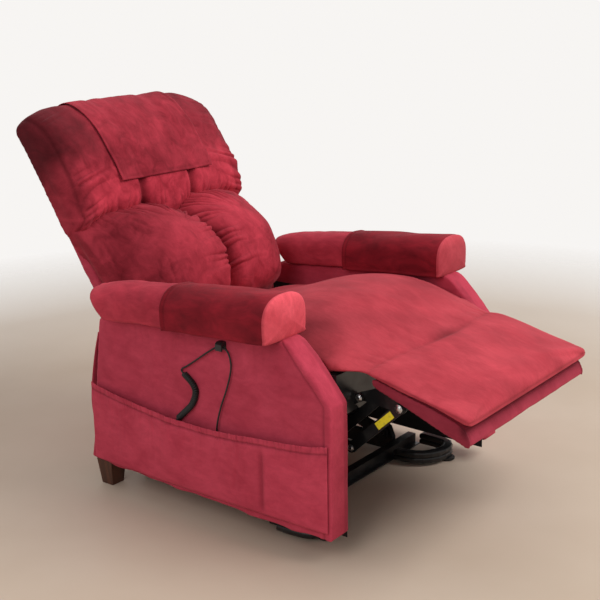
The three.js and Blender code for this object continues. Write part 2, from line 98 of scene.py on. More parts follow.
def back_coordinates(points):
    x, y, z = chair_coordinates(points)
    y, z = y - BACK_Y, z - BACK_Z
    return x, y * COS - z * SIN, y * SIN + z * COS


def step(low, high, value):
    """0 below low, 1 above high, and smooth between."""
    t = np.clip((value - low) / (high - low), 0, 1)
    return t * t * (3 - 2 * t)


def bell(value, width):
    return np.exp(-((value / width) ** 2))


def rounded(inside, width, power=2.4):
    """0 at an edge and 1 from width inside it, with a round shoulder between."""
    return 1 - (1 - min(inside / width, 1)) ** power


def unit(vectors):
    return vectors / np.linalg.norm(vectors, axis=1)[:, None]


def curve(points, count, closed=False):
    """Evenly spaced points on a smooth curve through the given ones."""
    points = np.asarray(points, float)
    around = points[[-1, *range(len(points)), 0, 1]] if closed else np.vstack(
        [2 * points[0] - points[1], points, 2 * points[-1] - points[-2]])
    dense = []
    for a, b, c, d in zip(around, around[1:], around[2:], around[3:]):
        t = np.linspace(0, 1, 24, endpoint=False)[:, None]
        dense.append(b + 0.5 * t * (c - a + t * (2 * a - 5 * b + 4 * c - d + t * (3 * (b - c) + d - a))))
    dense.append(points[:1] if closed else points[-1:])
    dense = np.vstack(dense)
    run = np.concatenate([[0], np.cumsum(np.linalg.norm(np.diff(dense, axis=0), axis=1))])
    places = np.linspace(0, run[-1], count, endpoint=not closed)
    return np.stack([np.interp(places, run, column) for column in dense.T], -1)


def profile(pairs):
    """A smooth function through (place, value) pairs, given from the lowest place up."""
    dense = curve(pairs, 240)
    return lambda places: np.interp(places, dense[:, 0], dense[:, 1])


def unevenness(points, wavelength, seed):
    """Smooth random waves, mostly between -1 and 1, of about that wavelength in millimetres."""
    random = np.random.default_rng(seed)
    total = np.zeros(len(points))
    for _ in range(14):
        way = random.normal(size=3)
        way *= 2 * math.pi / (np.linalg.norm(way) * wavelength * MM * random.uniform(0.6, 1.7))
        total += np.sin(points @ way + random.uniform(0, 2 * math.pi))
    return total / 5


def gathers(along, away, spacing, reach, seed):
    """Cloth pulled in at a seam: rounded ridges with sharp valleys between, fading away from the seam."""
    away = np.abs(away)
    turns = along / spacing
    wander = 0.12 * np.sin(away / (0.6 * reach) * 2 + 1.3 * turns + seed)
    phase = turns + 0.4 * np.sin(1.7 * turns + seed) + 0.3 * np.sin(0.61 * turns + 2 * seed) + wander
    ridge = np.abs(np.sin(math.pi * phase)) ** 0.8
    own = np.modf(np.abs(np.sin(np.floor(phase) * 12.9898 + seed) * 43758.5453))[0]
    fade = bell(away, reach * (0.35 + 0.9 * own))
    height = ridge * fade * (0.4 + 0.8 * own) - 0.45 * bell(away, reach)
    return height, (1 - ridge) ** 2 * fade


# ---------------------------------------------------------------- meshes
def new_piece(name, points, faces, material):
    mesh = bpy.data.meshes.new(name)
    mesh.from_pydata([tuple(point) for point in points], [], faces)
    mesh.update()
    mesh.shade_smooth()
    piece = bpy.data.objects.new(name, mesh)
    bpy.context.scene.collection.objects.link(piece)
    piece.data.materials.append(material)
    return piece


def strip_faces(rows, columns, closed):
    """Quads between rows of points. In closed rows the last point joins the first."""
    faces = []
    for i in range(rows - 1):
        for j in range(columns if closed else columns - 1):
            k = (j + 1) % columns
            faces.append((i * columns + j, i * columns + k, (i + 1) * columns + k, (i + 1) * columns + j))
    return faces


def inwards(outline):
    """The unit normals of a closed outline, on the left of its course."""
    course = np.roll(outline, -1, 0) - np.roll(outline, 1, 0)
    return unit(np.stack([-course[:, 1], course[:, 0]], -1))


def loft(name, rings, material):
    """A closed body through closed rings of points, with its ends filled."""
    rings = np.asarray(rings)
    rows, columns = rings.shape[:2]
    faces = strip_faces(rows, columns, True)
    faces.append(tuple(range(columns))[::-1])
    faces.append(tuple(range((rows - 1) * columns, rows * columns)))
    return outward(new_piece(name, rings.reshape(-1, 3), faces, material))


def thicken(sheet, thickness):
    """Gives a sheet its thickness in millimetres, on its inner side."""
    solid = sheet.modifiers.new("thickness", "SOLIDIFY")
    solid.thickness = thickness * MM
    solid.offset = -1
    return sheet


def cloth_grid(name, grid, material, thickness):
    """A sheet of that thickness over a grid of points."""
    grid = np.asarray(grid)
    rows, columns = grid.shape[:2]
    sheet = new_piece(name, grid.reshape(-1, 3), strip_faces(rows, columns, False), material)
    return thicken(sheet, thickness)


def outward(piece):
    """Turns the faces of a closed body to point out."""
    mesh = piece.data
    mesh.calc_loop_triangles()
    points = read(piece)
    corners = np.array([triangle.vertices for triangle in mesh.loop_triangles])
    a, b, c = points[corners[:, 0]], points[corners[:, 1]], points[corners[:, 2]]
    if np.einsum("ij,ij->i", a, np.cross(b, c)).sum() < 0:
        mesh.flip_normals()
    return piece


def read(piece, field="co"):
    values = np.zeros(len(piece.data.vertices) * 3, np.float32)
    piece.data.vertices.foreach_get(field, values)
    return values.reshape(-1, 3).astype(float)


def write(piece, points):
    piece.data.vertices.foreach_set("co", points.astype(np.float32).ravel())
    piece.data.update()


def settle(piece):
    """Makes what the modifiers show the piece's own mesh."""
    graph = bpy.context.evaluated_depsgraph_get()
    mesh = bpy.data.meshes.new_from_object(piece.evaluated_get(graph))
    piece.modifiers.clear()
    piece.data = mesh
    mesh.name = piece.name
    mesh.shade_smooth()
    return piece


def remesh(piece, size, smoothing=4):
    """An even mesh of that size in millimetres over the whole surface, a little rounded."""
    modifier = piece.modifiers.new("even", "REMESH")
    modifier.mode = "VOXEL"
    modifier.voxel_size = size * MM
    soften = piece.modifiers.new("soften", "SMOOTH")
    soften.factor = 0.5
    soften.iterations = smoothing
    return settle(piece)


def inflate(piece, held, cap, pressure=4.0, frames=20):
    """Blows the cover up as cloth, from its stuffing's pressure. held gives each point's pin, from 0 to 1."""
    start = read(piece)
    pins = np.clip(held(start), 0, 1)
    group = piece.vertex_groups.new(name="held")
    for level in range(1, 11):
        chosen = np.nonzero(np.round(pins * 10) == level)[0]
        if len(chosen):
            group.add([int(i) for i in chosen], level / 10, "REPLACE")
    cloth = piece.modifiers.new("cloth", "CLOTH")
    cloth.settings.quality = 4
    cloth.settings.mass = 0.3
    cloth.settings.tension_stiffness = 12
    cloth.settings.compression_stiffness = 12
    cloth.settings.shear_stiffness = 5
    cloth.settings.bending_stiffness = 0.6
    cloth.settings.use_pressure = True
    cloth.settings.uniform_pressure_force = pressure
    cloth.settings.effector_weights.gravity = 0
    cloth.settings.vertex_group_mass = "held"
    cloth.collision_settings.use_self_collision = False
    cloth.point_cache.frame_start = 1
    cloth.point_cache.frame_end = frames
    for number in range(1, frames + 1):
        bpy.context.scene.frame_set(number)
    settle(piece)
    piece.vertex_groups.clear()
    bpy.context.scene.frame_set(1)
    moved = read(piece) - start
    length = np.linalg.norm(moved, axis=1)
    share = np.minimum(1, cap * MM / np.maximum(length, 1e-9))
    write(piece, start + moved * share[:, None])
    return piece


def subdivide(piece):
    piece.modifiers.new("finer", "SUBSURF").levels = 1
    return settle(piece)


def sculpt(piece, shape):
    """Moves each point along its normal by shape's height in millimetres, and marks its creases to be darkened as
    painted shade.
    """
    points = read(piece)
    height, crease_shade = shape(points)
    write(piece, points + read(piece, "normal") * (height * MM)[:, None])
    mark(piece, "crease_shade", crease_shade)
    return piece


def mark(piece, name, values):
    """Stores a number from -1 to 1 at each point. The velvet darkens creases by one mark, as painted shade, and
    brightens or darkens the pile by the other, mostly as painted light and shade, partly as random tone of the
    pile.
    """
    attribute = piece.data.attributes.new(name, "FLOAT", "POINT")
    attribute.data.foreach_set("value", np.clip(values, -1, 1).astype(np.float32).ravel())


# ---------------------------------------------------------------- materials
class Surface:
    """A material's node tree, with short calls for its nodes."""

    def __init__(self, name):
        self.material = bpy.data.materials.new(name)
        self.material.use_nodes = True
        self.tree = self.material.node_tree
        self.shader = self.tree.nodes["Principled BSDF"]

    def set(self, **values):
        for name, value in values.items():
            self.shader.inputs[name.replace("_", " ")].default_value = value
        return self

    def feed(self, socket, value):
        """Links a socket to another node's output, or sets its plain value."""
        if isinstance(value, bpy.types.NodeSocket):
            self.tree.links.new(value, socket)
        else:
            socket.default_value = value

    def node(self, kind, inputs=(), **settings):
        made = self.tree.nodes.new(kind)
        for name, value in settings.items():
            setattr(made, name, value)
        for name, value in dict(inputs).items():
            self.feed(made.inputs[name], value)
        return made

    def place(self, scale=(1, 1, 1)):
        source = self.node("ShaderNodeTexCoord").outputs["Object"]
        return self.node("ShaderNodeMapping", {"Vector": source, "Scale": scale}).outputs["Vector"]

    def noise(self, scale, detail=3.0, roughness=0.55, distortion=0.0, stretch=(1, 1, 1)):
        inputs = {"Vector": self.place(stretch), "Scale": scale, "Detail": detail, "Roughness": roughness}
        return self.node("ShaderNodeTexNoise", {**inputs, "Distortion": distortion}).outputs["Fac"]

    def span(self, value, low, high, start=0.0, end=1.0):
        inputs = {"Value": value, "From Min": low, "From Max": high, "To Min": start, "To Max": end}
        return self.node("ShaderNodeMapRange", inputs).outputs["Result"]

    def mix(self, share, a, b, kind="MIX"):
        made = self.node("ShaderNodeMix", data_type="RGBA", blend_type=kind)
        for socket, value in ((made.inputs[0], share), (made.inputs[6], a), (made.inputs[7], b)):
            self.feed(socket, value)
        return made.outputs[2]

    def sum(self, a, b, kind="ADD"):
        made = self.node("ShaderNodeMath", operation=kind)
        self.feed(made.inputs[0], a)
        self.feed(made.inputs[1], b)
        return made.outputs[0]

    def part(self, value, share):
        return self.sum(value, share, "MULTIPLY")

    def colour(self, socket):
        self.feed(self.shader.inputs["Base Color"], socket)

    def roughness(self, socket):
        self.feed(self.shader.inputs["Roughness"], socket)

    def bump(self, height, distance, strength=1.0):
        made = self.node("ShaderNodeBump", {"Height": height, "Distance": distance, "Strength": strength})
        self.feed(self.shader.inputs["Normal"], made.outputs["Normal"])


def shade(colour, factor=1.0):
    return (*(channel * factor for channel in colour), 1.0)


def velvet(name, deep, bright, sheen):
    """Cut pile brushed this way and that: soft patches, fine streaks, short fibres, painted shade in its creases,
    and painted light and shade marked on each piece.
    """
    surface = Surface(name)
    surface.set(Sheen_Weight=sheen, Sheen_Roughness=0.4, Sheen_Tint=(1.0, 0.3, 0.36, 1.0))
    surface.set(Specular_IOR_Level=0.12)
    patches = surface.span(surface.noise(5.5, 3.0, 0.55, 0.8), 0.3, 0.7)
    brushed = surface.span(surface.noise(26, 3.0, 0.6, 0.9, (1, 0.45, 0.9)), 0.3, 0.7)
    streaks = surface.noise(150, 4.0, 0.65, 0.3, (1, 0.22, 0.5))
    fibres = surface.noise(1500, 2.0, 0.6)
    share = surface.span(surface.sum(surface.part(patches, 0.5), surface.part(brushed, 0.5)), 0.08, 0.92)
    base = surface.mix(share, shade(deep), shade(bright))
    # Painted light and shade: marks on each piece make its velvet from 0.3 to 1.7 times as bright, with some
    # random tone of the pile.
    nap_and_painted_light = surface.node("ShaderNodeAttribute", attribute_name="nap_and_painted_light").outputs["Fac"]
    base = surface.mix(1.0, base, surface.span(nap_and_painted_light, -1, 1, 0.3, 1.7), "MULTIPLY")
    grain = surface.mix(surface.span(streaks, 0.3, 0.7), (0.92, 0.91, 0.91, 1), (1.06, 1.06, 1.06, 1))
    base = surface.mix(1.0, base, grain, "MULTIPLY")
    pile = surface.mix(surface.span(fibres, 0.25, 0.75), (0.86, 0.85, 0.85, 1), (1.12, 1.12, 1.12, 1))
    base = surface.mix(1.0, base, pile, "MULTIPLY")
    # Painted shade: creases, folds, hems and seam grooves darken towards a deep shade of the cloth.
    crease_shade = surface.node("ShaderNodeAttribute", attribute_name="crease_shade").outputs["Fac"]
    surface.colour(surface.mix(surface.part(crease_shade, 0.62), base, shade(deep, 0.28)))
    surface.roughness(surface.span(brushed, 0, 1, 0.78, 0.95))
    surface.bump(surface.sum(surface.part(fibres, 0.25), surface.part(streaks, 0.75)), 0.0011, 0.55)
    return surface.material


def lining():
    """Thin black non-woven cloth, with its small pressed dots."""
    surface = Surface("black_lining").set(Roughness=0.92)
    cells = surface.node("ShaderNodeTexVoronoi", {"Vector": surface.place(), "Scale": 420.0})
    felt = surface.span(surface.noise(900, 2.0), 0.3, 0.7)
    surface.colour(surface.mix(felt, (0.006, 0.006, 0.007, 1), (0.018, 0.017, 0.018, 1)))
    surface.bump(surface.span(cells.outputs["Distance"], 0.0, 0.5), 0.0004, 0.5)
    return surface.material


def coated_steel():
    """Satin black powder coat: faint orange peel, dust, and thin scuffs."""
    surface = Surface("black_powder_coat").set(Metallic=0.0, Specular_IOR_Level=0.55)
    peel = surface.noise(700, 2.0)
    dust = surface.span(surface.noise(14, 5.0, 0.65, 0.4), 0.5, 0.78)
    scuffs = surface.span(surface.noise(90, 3.0, 0.7, 0.0, (1, 0.08, 0.3)), 0.66, 0.74)
    base = surface.mix(dust, (0.0075, 0.0075, 0.0085, 1), (0.03, 0.028, 0.027, 1))
    surface.colour(surface.mix(surface.part(scuffs, 0.35), base, (0.12, 0.12, 0.12, 1)))
    surface.roughness(surface.span(dust, 0, 1, 0.3, 0.55))
    surface.bump(peel, 0.0003, 0.25)
    return surface.material


def zinc():
    """Zinc plate, brushed and slightly clouded."""
    surface = Surface("zinc_plate").set(Metallic=1.0)
    clouds = surface.noise(60, 4.0, 0.6)
    lines = surface.noise(500, 2.0, 0.5, 0.0, (1, 0.05, 1))
    surface.colour(surface.mix(surface.span(clouds, 0.3, 0.7), (0.5, 0.5, 0.52, 1), (0.72, 0.71, 0.68, 1)))
    surface.roughness(surface.span(clouds, 0.3, 0.7, 0.22, 0.42))
    surface.bump(lines, 0.0002, 0.3)
    return surface.material


def moulded(name, dark, light, roughness):
    """Moulded plastic or rubber with a fine spark texture."""
    surface = Surface(name)
    grain = surface.noise(1100, 3.0, 0.6)
    clouds = surface.span(surface.noise(25, 3.0), 0.35, 0.7)
    surface.colour(surface.mix(clouds, shade(dark), shade(light)))
    surface.roughness(surface.span(clouds, 0, 1, roughness, roughness + 0.12))
    surface.bump(grain, 0.0003, 0.3)
    return surface.material


def timber(name, dark, light, scale, roughness):
    """Wood with rings stretched along the grain, and pores."""
    surface = Surface(name).set(Specular_IOR_Level=0.4)
    rings = surface.noise(scale, 5.0, 0.6, 1.4, (1, 1, 0.12))
    pores = surface.noise(600, 2.0, 0.6, 0.0, (1, 1, 0.06))
    grain = surface.mix(surface.span(rings, 0.35, 0.68), shade(dark), shade(light))
    speck = surface.mix(surface.span(pores, 0.3, 0.5), (0.6, 0.58, 0.55, 1), (1, 1, 1, 1))
    surface.colour(surface.mix(1.0, grain, speck, "MULTIPLY"))
    surface.roughness(surface.span(rings, 0.3, 0.7, roughness, roughness + 0.2))
    surface.bump(pores, 0.0004, 0.4)
    return surface.material


def plain_label():
    """A plain yellow label, a little soiled, without any lettering."""
    surface = Surface("plain_label").set(Roughness=0.42)
    soil = surface.span(surface.noise(70, 4.0, 0.65), 0.5, 0.8)
    surface.colour(surface.mix(soil, (0.86, 0.72, 0.03, 1), (0.42, 0.35, 0.06, 1)))
    surface.bump(surface.noise(300, 2.0), 0.0002, 0.3)
    return surface.material


# Copies of one velvet at different brightness, each matched to how bright its pieces look under the lamps, so the
# differences between them are painted light and shade: the seat and the arm caps are the lit copies.
VELVET_DEEP = velvet("velvet_deep", (0.19, 0.0105, 0.02), (0.46, 0.042, 0.066), 0.16)
VELVET_PANEL = velvet("velvet_panel", (0.37, 0.033, 0.06), (0.51, 0.058, 0.098), 0.14)
VELVET_ROLL = velvet("velvet_roll", (0.3, 0.021, 0.038), (0.54, 0.051, 0.08), 0.16)
VELVET_SEAT_LIT = velvet("velvet_seat", (0.42, 0.038, 0.056), (0.57, 0.068, 0.092), 0.14)
VELVET_COVER = velvet("velvet_cover", (0.12, 0.0045, 0.01), (0.3, 0.015, 0.027), 0.16)
VELVET_CAP_LIT = velvet("velvet_cap_lit", (0.53, 0.055, 0.076), (0.72, 0.1, 0.13), 0.14)
LINING = lining()
BLACK_STEEL = coated_steel()
ZINC = zinc()
BLACK_PLASTIC = moulded("black_plastic", (0.008, 0.008, 0.009), (0.02, 0.02, 0.021), 0.34)
GREY_PLASTIC = moulded("grey_plastic", (0.24, 0.25, 0.27), (0.32, 0.33, 0.35), 0.4)
RUBBER = moulded("black_rubber", (0.006, 0.006, 0.006), (0.014, 0.014, 0.014), 0.5)
BROWN_WOOD = timber("brown_wood", (0.03, 0.009, 0.005), (0.11, 0.036, 0.018), 22, 0.3)
PALE_WOOD = timber("pale_wood", (0.3, 0.19, 0.1), (0.55, 0.39, 0.23), 16, 0.6)
LABEL = plain_label()


# ---------------------------------------------------------------- camera, floor and light
def add_camera():
    data = bpy.data.cameras.new("camera")
    data.sensor_width = 36
    data.lens = 65.14
    camera = bpy.data.objects.new("camera", data)
    camera.location = (-2.2564, -1.7684, 1.2651)
    target = Vector((0.003, -0.0244, 0.4948))
    turn = (target - camera.location).to_track_quat("-Z", "Y").to_matrix().to_4x4()
    roll = Matrix.Rotation(math.radians(-1.0), 4, "Z")
    camera.matrix_world = Matrix.Translation(camera.location) @ turn @ roll
    bpy.context.scene.collection.objects.link(camera)
    bpy.context.scene.camera = camera


def add_floor():
    """A pale floor that fades away into the background a couple of metres out."""
    size = 3.3
    corners = [(-size, -size, 0), (size, -size, 0), (size, size, 0), (-size, size, 0)]
    surface = Surface("floor")
    surface.set(Roughness=0.6, Specular_IOR_Level=0.2)
    place = surface.place((1, 1, 0))
    distance = surface.node("ShaderNodeVectorMath", {0: place}, operation="LENGTH").outputs["Value"]
    cloud = surface.span(surface.noise(1.6, 4.0), 0.3, 0.7)
    cloud = surface.mix(cloud, (0.52, 0.42, 0.33, 1), (0.58, 0.48, 0.39, 1))
    surface.colour(surface.mix(surface.span(distance, 1.2, 2.8), cloud, (0.8, 0.74, 0.68, 1)))
    faded = surface.span(distance, 1.9, 3.2, 1.0, 0.0)
    surface.feed(surface.shader.inputs["Alpha"], faded)
    floor = new_piece("floor", corners, [(0, 1, 2, 3)], surface.material)


def add_light(name, place, target, size, power, colour):
    data = bpy.data.lights.new(name, "AREA")
    data.shape = "RECTANGLE"
    data.size, data.size_y = size
    data.energy = power
    data.color = colour
    light = bpy.data.objects.new(name, data)
    light.location = place
    light.rotation_euler = (Vector(target) - Vector(place)).to_track_quat("-Z", "Y").to_euler()
    bpy.context.scene.collection.objects.link(light)


def add_studio():
    """Soft light all round, brightest from the wall behind the chair, and two large lamps."""
    world = bpy.data.worlds.new("studio")
    world.use_nodes = True
    nodes, links = world.node_tree.nodes, world.node_tree.links
    way = nodes.new("ShaderNodeVectorMath")
    way.operation = "DOT_PRODUCT"
    way.inputs[1].default_value = (0.78, 0.62, 0.0)
    links.new(nodes.new("ShaderNodeTexCoord").outputs["Generated"], way.inputs[0])
    share = nodes.new("ShaderNodeMapRange")
    share.interpolation_type = "SMOOTHSTEP"
    for socket, value in (("From Min", -0.2), ("From Max", 0.75), ("To Min", 0.42), ("To Max", 0.96)):
        share.inputs[socket].default_value = value
    links.new(way.outputs["Value"], share.inputs["Value"])
    links.new(share.outputs["Result"], nodes["Background"].inputs["Strength"])
    nodes["Background"].inputs["Color"].default_value = (0.97, 0.95, 0.93, 1)
    bpy.context.scene.world = world
    bpy.context.scene.view_settings.view_transform = "Standard"
    add_light("key", (0.9, -2.6, 3.2), (0, -0.1, 0.4), (2.4, 1.8), 100, (1.0, 0.97, 0.94))
    add_light("side", (-3.0, -0.6, 2.2), (0, 0, 0.5), (1.6, 2.0), 30, (1.0, 0.98, 0.96))


# ---------------------------------------------------------------- the handset's curly lead
WIRE = 2.2                         # the lead's radius
LEAD_LOOP = [(-410.6, -117, 236), (-415, -117, 240), (-419, -118, 256), (-419.5, -120, 285),
             (-419, -133, 330), (-418, -152, 378), (-418, -166, 420), (-418, -170, 448), (-418, -164, 472),
             (-418, -154, 483), (-418, -140, 486), (-418, -126, 483), (-418, -104, 470), (-418, -79, 453),
             (-418, -46, 430), (-418, -20, 413), (-418, -9, 407), (-418, -6, 401), (-418, -12, 396)]
LEAD_COIL = [(-418, -12.5, 395.6), (-418, -26, 387), (-418, -43, 373), (-418, -51, 353), (-418, -38, 320),
             (-418, -10, 292), (-418.5, 14, 270)]
LEAD_TAIL = [(-418.5, 14.3, 269.6), (-418.5, 22, 260), (-418.5, 25, 246.4)]
COIL = {"radius": 6.2, "pitch": 4.8, "points": 16}


def run_of(points):
    return float(np.linalg.norm(np.diff(points, axis=0), axis=1).sum())


def helix():
    """The curly stretch, wound around its own bent middle line."""
    turns = round(run_of(curve(LEAD_COIL, 200)) / COIL["pitch"])
    middle = curve(LEAD_COIL, turns * COIL["points"] + 1)
    along = unit(np.gradient(middle, axis=0))
    side = np.array([1.0, 0, 0])
    other = np.cross(along, side)
    angle = 2 * math.pi * np.arange(len(middle)) / COIL["points"]
    ends = np.minimum(np.arange(len(middle)), np.arange(len(middle))[::-1]) / COIL["points"]
    radius = COIL["radius"] * step(0, 0.8, ends)
    return middle + radius[:, None] * (np.cos(angle)[:, None] * side + np.sin(angle)[:, None] * other)


def add_lead():
    points = np.vstack([curve(LEAD_LOOP, 150), helix(), curve(LEAD_TAIL, 8)])
    points = chair_points(*points.T)
    data = bpy.data.curves.new("handset_lead", "CURVE")
    data.dimensions = "3D"
    data.bevel_depth = WIRE * MM
    data.bevel_resolution = 2
    spline = data.splines.new("POLY")
    spline.points.add(len(points) - 1)
    spline.points.foreach_set("co", np.column_stack([points, np.ones(len(points))]).ravel())
    lead = bpy.data.objects.new("handset_lead", data)
    bpy.context.scene.collection.objects.link(lead)
    data.materials.append(RUBBER)
    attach(lead, "chair")
    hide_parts("cord_loop", "cord_coil", "cord_tail")
    round(run_of(points), 3)


# ---------------------------------------------------------------- seat and footrest
CROWN = profile([(-755, 403), (-745, 412), (-700, 425), (-655, 438), (-597, 455), (-540, 471), (-474, 484),
                 (-417, 508), (-340, 542), (-280, 559), (-219, 562), (-153, 554), (-85, 535), (-15, 506),
                 (60, 482), (186, 462)])
EDGE = profile([(-755, 400), (-745, 407), (-700, 418), (-655, 428), (-597, 443), (-540, 456), (-500, 462),
                (-474, 458), (-426, 469), (-373, 482), (-320, 496), (-255, 510), (-189, 513), (-120, 508),
                (-50, 496), (22, 476), (96, 452), (186, 438)])
UNDERSIDE = profile([(-755, 382), (-748, 380), (-665, 405), (-579, 424), (-484, 446), (-400, 444),
                     (-388, 436), (-366, 400), (-350, 391), (186, 391)])


def chaise_half(y):
    return FOOTREST["half"] + (SEAT["half"] - FOOTREST["half"]) * step(-452, -408, y)


def past_seam(x, y):
    """How far a point of the chaise lies behind its cross seam, which bows forward in the middle."""
    return y - SEAM_Y + 38 * (1 - (x / chaise_half(y)) ** 2)


def add_chaise():
    """One long pad: the seat crowned between the arms, sewn to the flatter pad of the footrest."""
    rings = []
    for y in np.linspace(FOOTREST["end"], SEAT["rear"], 120):
        half = chaise_half(y)
        share = np.sin(np.linspace(-math.pi / 2, math.pi / 2, 40))
        fall = 1 - np.abs(share) ** 2.3
        low, edge, crown = UNDERSIDE(y), EDGE(y), CROWN(y)
        inset = max(0, 1 - (y - FOOTREST["end"]) / 9)
        half -= 3 * inset ** 2
        edge = low + (edge - low) * (1 - 0.3 * inset ** 2)
        top = edge + (crown - edge) * fall - 9 * np.abs(share) ** 14
        under = np.full(40, low) + 7 * np.abs(share) ** 14
        across = share * half
        rings.append(np.vstack([chair_points(across, y, top), chair_points(across, y, under)[::-1]]))
    chaise = remesh(loft("seat_and_footrest_pad", rings, VELVET_SEAT_LIT), 6)

    def held(points):
        x, y, z = chair_coordinates(points)
        under = 1 - step(4, 16, z - UNDERSIDE(y))
        rim = step(-14, 0, np.abs(x) - chaise_half(y)) * step(-460, -420, -y)
        return np.maximum(np.maximum(under, rim), bell(past_seam(x, y), 9))

    def detail(points):
        x, y, z = chair_coordinates(points)
        top = step(8, 24, z - UNDERSIDE(y))
        side = np.abs(x) / chaise_half(y)
        seam = bell(past_seam(x, y), 7) * (0.6 * bell(x - 10, 80) + 0.2 + 0.7 * side ** 6) * top
        folds, valleys = gathers(x + 0.35 * y, y - SEAM_Y, 47, 42, 3)
        rear, rear_valleys = gathers(y, SEAT["half"] - np.abs(x), 41, 34, 5)
        sides = top * step(-430, -380, y)
        welt = bell(np.abs(x) - chaise_half(y) + 3, 5) * bell(z - EDGE(y) + 11, 4) * step(440, 470, -y)
        front = bell(y - FOOTREST["end"] - 3, 6) * bell(z - 391, 3.5)
        height = -7 * seam + 2.6 * folds * top * step(0.1, 0.7, side) + 3.2 * rear * sides
        height -= 2.5 * (welt + front)
        height += top * (1.6 * unevenness(points, 190, 11) + 0.7 * unevenness(points, 62, 12))
        crease_shade = 0.75 * seam + 0.25 * valleys * top * side + 0.4 * rear_valleys * sides + 0.5 * (welt + front)
        return height, crease_shade

    inflate(chaise, held, 16)
    sculpt(subdivide(chaise), detail)
    # Painted light and shade on the pad: darker overall, darker on the near side beside the arm as its painted
    # shadow, a painted highlight on the crest, painted shade just behind the middle of the cross seam, slightly
    # darker on the seat and lighter towards the footrest's end, with random patches of pile.
    x, y, z = chair_coordinates(read(chaise))
    seat = step(-440, -330, y)
    crest = bell(y + 300, 70) * bell(x + 40, 190)
    patch = bell(past_seam(x, y) - 4, 17) * bell(x - 10, 85)
    nap_and_painted_light = -0.16 - 0.45 * step(120, 290, -x) * seat - 0.14 * seat + 0.08 * crest - 0.42 * patch
    mark(chaise, "nap_and_painted_light", nap_and_painted_light + 0.04 * step(560, 640, -y) + 0.12 * unevenness(read(chaise), 110, 13))
    chair_points(0, FOLD_Y + 42, FOLD_Z + 60)
    chair_points(0, FOLD_Y - 42, FOLD_Z + 60)
    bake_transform(chaise)
    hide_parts("seat_cushion", "footrest_pad")


def add_footrest_board():
    """The upholstered board under the footrest pad, a wedge that is thickest at its front edge."""
    outline = curve([(-500, 440), (-579, 420), (-665, 398), (-720, 378), (-736, 366), (-746, 348),
                     (-744, 332), (-700, 348), (-657, 364), (-600, 386), (-540, 409), (-502, 424)], 90, True)
    half = 303
    rings = []
    left = [(half - 7, 0), (half - 2, 2), (half, 5)]
    right = [(-x, inset) for x, inset in left[::-1]]
    for x, inset in [*right, (0, 0), *left]:
        ring = outline - inwards(outline) * inset
        rings.append(chair_points(x, ring[:, 0], ring[:, 1]))
    board = remesh(loft("footrest_board_cover", rings, VELVET_PANEL), 4, 2)

    def detail(points):
        x = chair_coordinates(points)[0]
        line = bell(np.abs(x) - half + 9, 3) * 0.8
        return 0.7 * unevenness(points, 90, 21) - 1.2 * line, 0.6 * line

    sculpt(subdivide(board), detail)
    # Painted shade: the board is darker overall and on its side faces, and darkest just under the pad's front edge
    # as a painted shadow.
    x, y, z = chair_coordinates(read(board))
    shadow = (1 - step(6, 44, UNDERSIDE(y) - z)) * step(715, 735, -y)
    mark(board, "nap_and_painted_light", -0.15 - 0.4 * step(half - 10, half - 2, np.abs(x)) - 0.65 * shadow)
    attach(board, "footrest")
    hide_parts("footrest_board")


# ---------------------------------------------------------------- back
HEAD = [(-14, 338), (-58, 340), (-96, 364), (-114, 420), (-116, 515), (-106, 595), (-84, 652), (-50, 692),
        (-8, 703), (26, 688), (36, 650), (16, 610), (-10, 560), (-14, 450)]
HEAD_SIDE = [(10, 322), (-44, 318), (-84, 340), (-110, 410), (-118, 500), (-110, 590), (-86, 645), (-50, 680),
             (-8, 690), (18, 676), (16, 640), (12, 600), (10, 520), (10, 430)]
LUMBAR = [(-14, 8), (-112, 4), (-166, 22), (-191, 64), (-204, 105), (-211, 150), (-207, 192), (-186, 238),
          (-150, 286), (-98, 326), (-14, 342)]
LUMBAR_SIDE = [(10, 10), (-52, 6), (-70, 22), (-76, 60), (-80, 104), (-98, 146), (-124, 190), (-116, 240),
               (-98, 288), (-58, 326), (10, 342)]
FRAME_HALF = 288                   # the pads reach around the frame of the back beyond this


def wrapped(middle, side, x, count):
    """The outline of a pad of the back at x, which turns round the frame at its side."""
    share = step(FRAME_HALF - 45, FRAME_HALF + 35, abs(x))
    return curve(np.array(middle) * (1 - share) + np.array(side) * share, count, True).T


